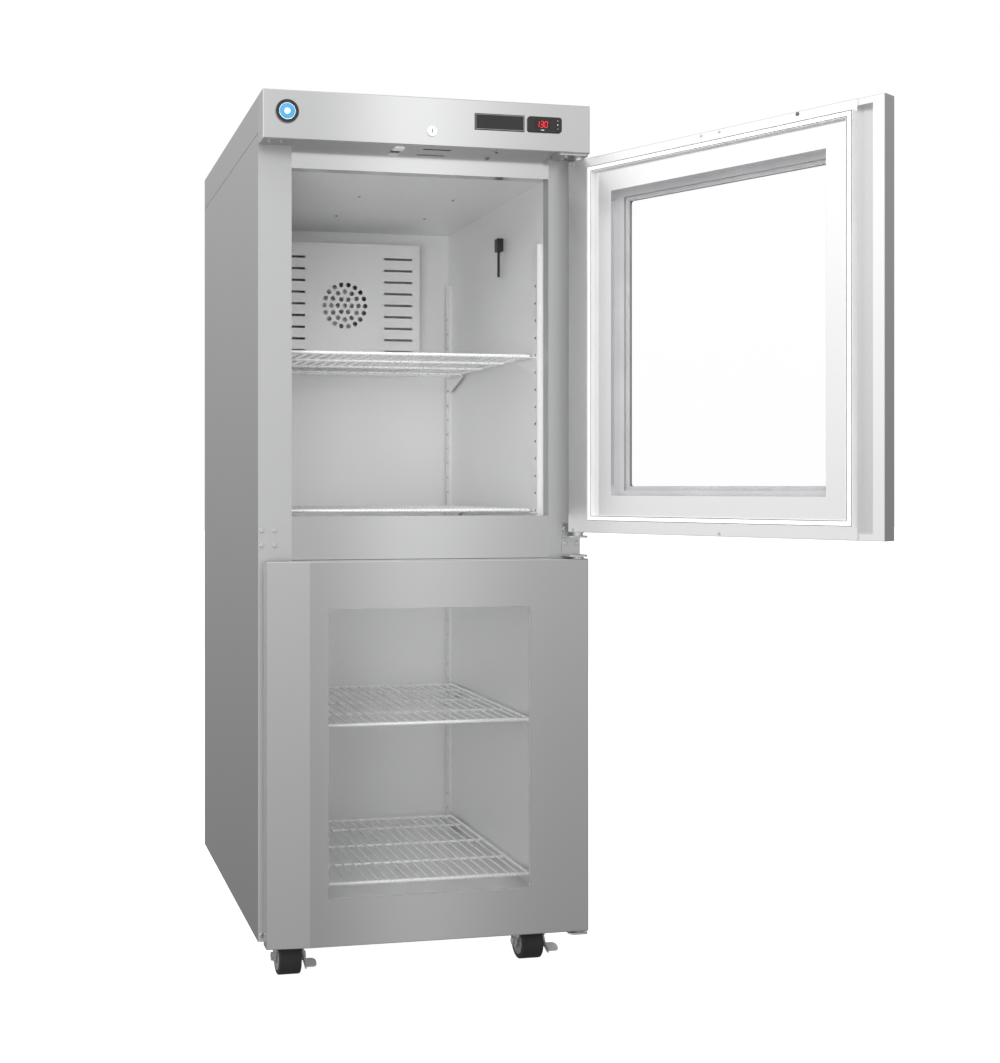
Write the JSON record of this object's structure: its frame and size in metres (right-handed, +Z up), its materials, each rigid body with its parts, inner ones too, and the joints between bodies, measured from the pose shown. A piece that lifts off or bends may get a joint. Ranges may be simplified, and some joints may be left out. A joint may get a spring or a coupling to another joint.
{
  "type": "hot towel cabinet",
  "caption": "Tall stainless steel heated towel cabinet on swivel casters, with glazed half-height doors, wire shelves, a fan heater and a digital controller.",
  "frame": {"origin": "on the floor, under the middle of the body", "axes": "+Z up, -Y towards the front with the doors, +X towards the hinge side"},
  "size_m": [1.0275, 1.4525, 1.8345],
  "materials": {
    "cover": "brushed",
    "header": "brushed",
    "liner": "satin",
    "door_inner": "satin",
    "frame": "brushed",
    "galvanised": "dull",
    "wool": "fibrous",
    "hardware": "polished",
    "shelf_wire": "polished",
    "black_plastic": "matt",
    "key_plastic": "matt",
    "display_lens": "gloss",
    "badge": "gloss",
    "seal": "satin",
    "glazing": "clear",
    "tyre": "matt",
    "heater": "dull",
    "motor": "satin",
    "rotor": "satin"
  },
  "bodies": {
    "cabinet": {"back_panel": "galvanised", "base_pan": "galvanised", "blanking_bolts": "hardware", "caster_plates": "hardware", "controller_display": "display_lens", "controller_housing": "black_plastic", "cord_inlet": "black_plastic", "door_sensor": "black_plastic", "face_rails": "frame", "face_stiles": "frame", "fan_motor": "motor", "fasteners": "hardware", "header_badges": "badge", "header_front": "header", "header_underside": "frame", "heater_baffle": "liner", "heating_element": "heater", "hinge_bracket_top": "hardware", "hinge_brackets_face": "hardware", "hinge_pins": "hardware", "inner_liner": "liner", "insulation": "wool", "lock_body": "hardware", "shelf_clips": "liner", "shelf_standards": "liner", "side_panel_left": "cover", "side_panel_right": "cover", "temperature_probe": "black_plastic", "top_panel": "cover", "wire_shelves": "shelf_wire", "wiring_box": "galvanised"},
    "upper_door": {"upper_door_gasket": "seal", "upper_door_glass": "glazing", "upper_door_glazing_frame": "seal", "upper_door_hardware": "hardware", "upper_door_inner_pan": "door_inner", "upper_door_insulation": "wool", "upper_door_skin": "cover"},
    "lower_door": {"lower_door_gasket": "seal", "lower_door_glass": "glazing", "lower_door_glazing_frame": "seal", "lower_door_hardware": "hardware", "lower_door_inner_pan": "door_inner", "lower_door_insulation": "wool", "lower_door_skin": "cover"},
    "lock_plug": {"lock_plug": "hardware"},
    "fan_rotor": {"fan_rotor": "rotor"},
    "button_up": {"controller_button_up": "key_plastic"},
    "button_down": {"controller_button_down": "key_plastic"},
    "button_set": {"controller_button_set": "key_plastic"},
    "caster_front_left": {"caster_front_left_fork": "hardware"},
    "caster_front_left_wheel": {"caster_front_left_wheel": "tyre"},
    "caster_front_left_brake": {"caster_front_left_brake": "hardware"},
    "caster_front_right": {"caster_front_right_fork": "hardware"},
    "caster_front_right_wheel": {"caster_front_right_wheel": "tyre"},
    "caster_front_right_brake": {"caster_front_right_brake": "hardware"},
    "caster_rear_left": {"caster_rear_left_fork": "hardware"},
    "caster_rear_left_wheel": {"caster_rear_left_wheel": "tyre"},
    "caster_rear_right": {"caster_rear_right_fork": "hardware"},
    "caster_rear_right_wheel": {"caster_rear_right_wheel": "tyre"}
  },
  "joints": [
    {"name": "upper_door_hinge", "type": "hinge", "parent": "cabinet", "child": "upper_door", "pos_m": [0.3341, -0.4329, 1.33], "axis": [0, 0, 1], "range_deg": [-119, 1]},
    {"name": "lower_door_hinge", "type": "hinge", "parent": "cabinet", "child": "lower_door", "pos_m": [0.3341, -0.4329, 0.49], "axis": [0, 0, 1], "range_deg": [0, 120]},
    {"name": "lock_turn", "type": "hinge", "parent": "cabinet", "child": "lock_plug", "pos_m": [0.0038, -0.43, 1.765], "axis": [0, 1, 0], "range_deg": [0, 90]},
    {"name": "fan_spin", "type": "hinge", "parent": "cabinet", "child": "fan_rotor", "pos_m": [0, 0.33, 1.502], "axis": [0, 1, 0], "continuous": true},
    {"name": "button_up_press", "type": "slide", "parent": "cabinet", "child": "button_up", "axis": [0, 1, 0], "range_m": [0, 0.0006], "stiffness_N_per_m": 300},
    {"name": "button_down_press", "type": "slide", "parent": "cabinet", "child": "button_down", "axis": [0, 1, 0], "range_m": [0, 0.0006], "stiffness_N_per_m": 300},
    {"name": "button_set_press", "type": "slide", "parent": "cabinet", "child": "button_set", "axis": [0, 1, 0], "range_m": [0, 0.0006], "stiffness_N_per_m": 300},
    {"name": "caster_front_left_swivel", "type": "hinge", "parent": "cabinet", "child": "caster_front_left", "pos_m": [-0.2687, -0.3345, 0.09], "axis": [0, 0, 1], "continuous": true},
    {"name": "caster_front_left_roll", "type": "hinge", "parent": "caster_front_left", "child": "caster_front_left_wheel", "pos_m": [-0.2687, -0.3045, 0.038], "axis": [1, 0, 0], "continuous": true},
    {"name": "caster_front_left_brake_press", "type": "hinge", "parent": "caster_front_left", "child": "caster_front_left_brake", "pos_m": [-0.2377, -0.3045, 0.038], "axis": [1, 0, 0], "range_deg": [0, 12]},
    {"name": "caster_front_right_swivel", "type": "hinge", "parent": "cabinet", "child": "caster_front_right", "pos_m": [0.2687, -0.3345, 0.09], "axis": [0, 0, 1], "continuous": true},
    {"name": "caster_front_right_roll", "type": "hinge", "parent": "caster_front_right", "child": "caster_front_right_wheel", "pos_m": [0.2687, -0.3045, 0.038], "axis": [1, 0, 0], "continuous": true},
    {"name": "caster_front_right_brake_press", "type": "hinge", "parent": "caster_front_right", "child": "caster_front_right_brake", "pos_m": [0.2997, -0.3045, 0.038], "axis": [1, 0, 0], "range_deg": [0, 12]},
    {"name": "caster_rear_left_swivel", "type": "hinge", "parent": "cabinet", "child": "caster_rear_left", "pos_m": [-0.2687, 0.3345, 0.09], "axis": [0, 0, 1], "continuous": true},
    {"name": "caster_rear_left_roll", "type": "hinge", "parent": "caster_rear_left", "child": "caster_rear_left_wheel", "pos_m": [-0.2687, 0.3645, 0.038], "axis": [1, 0, 0], "continuous": true},
    {"name": "caster_rear_right_swivel", "type": "hinge", "parent": "cabinet", "child": "caster_rear_right", "pos_m": [0.2687, 0.3345, 0.09], "axis": [0, 0, 1], "continuous": true},
    {"name": "caster_rear_right_roll", "type": "hinge", "parent": "caster_rear_right", "child": "caster_rear_right_wheel", "pos_m": [0.2687, 0.3645, 0.038], "axis": [1, 0, 0], "continuous": true}
  ]
}
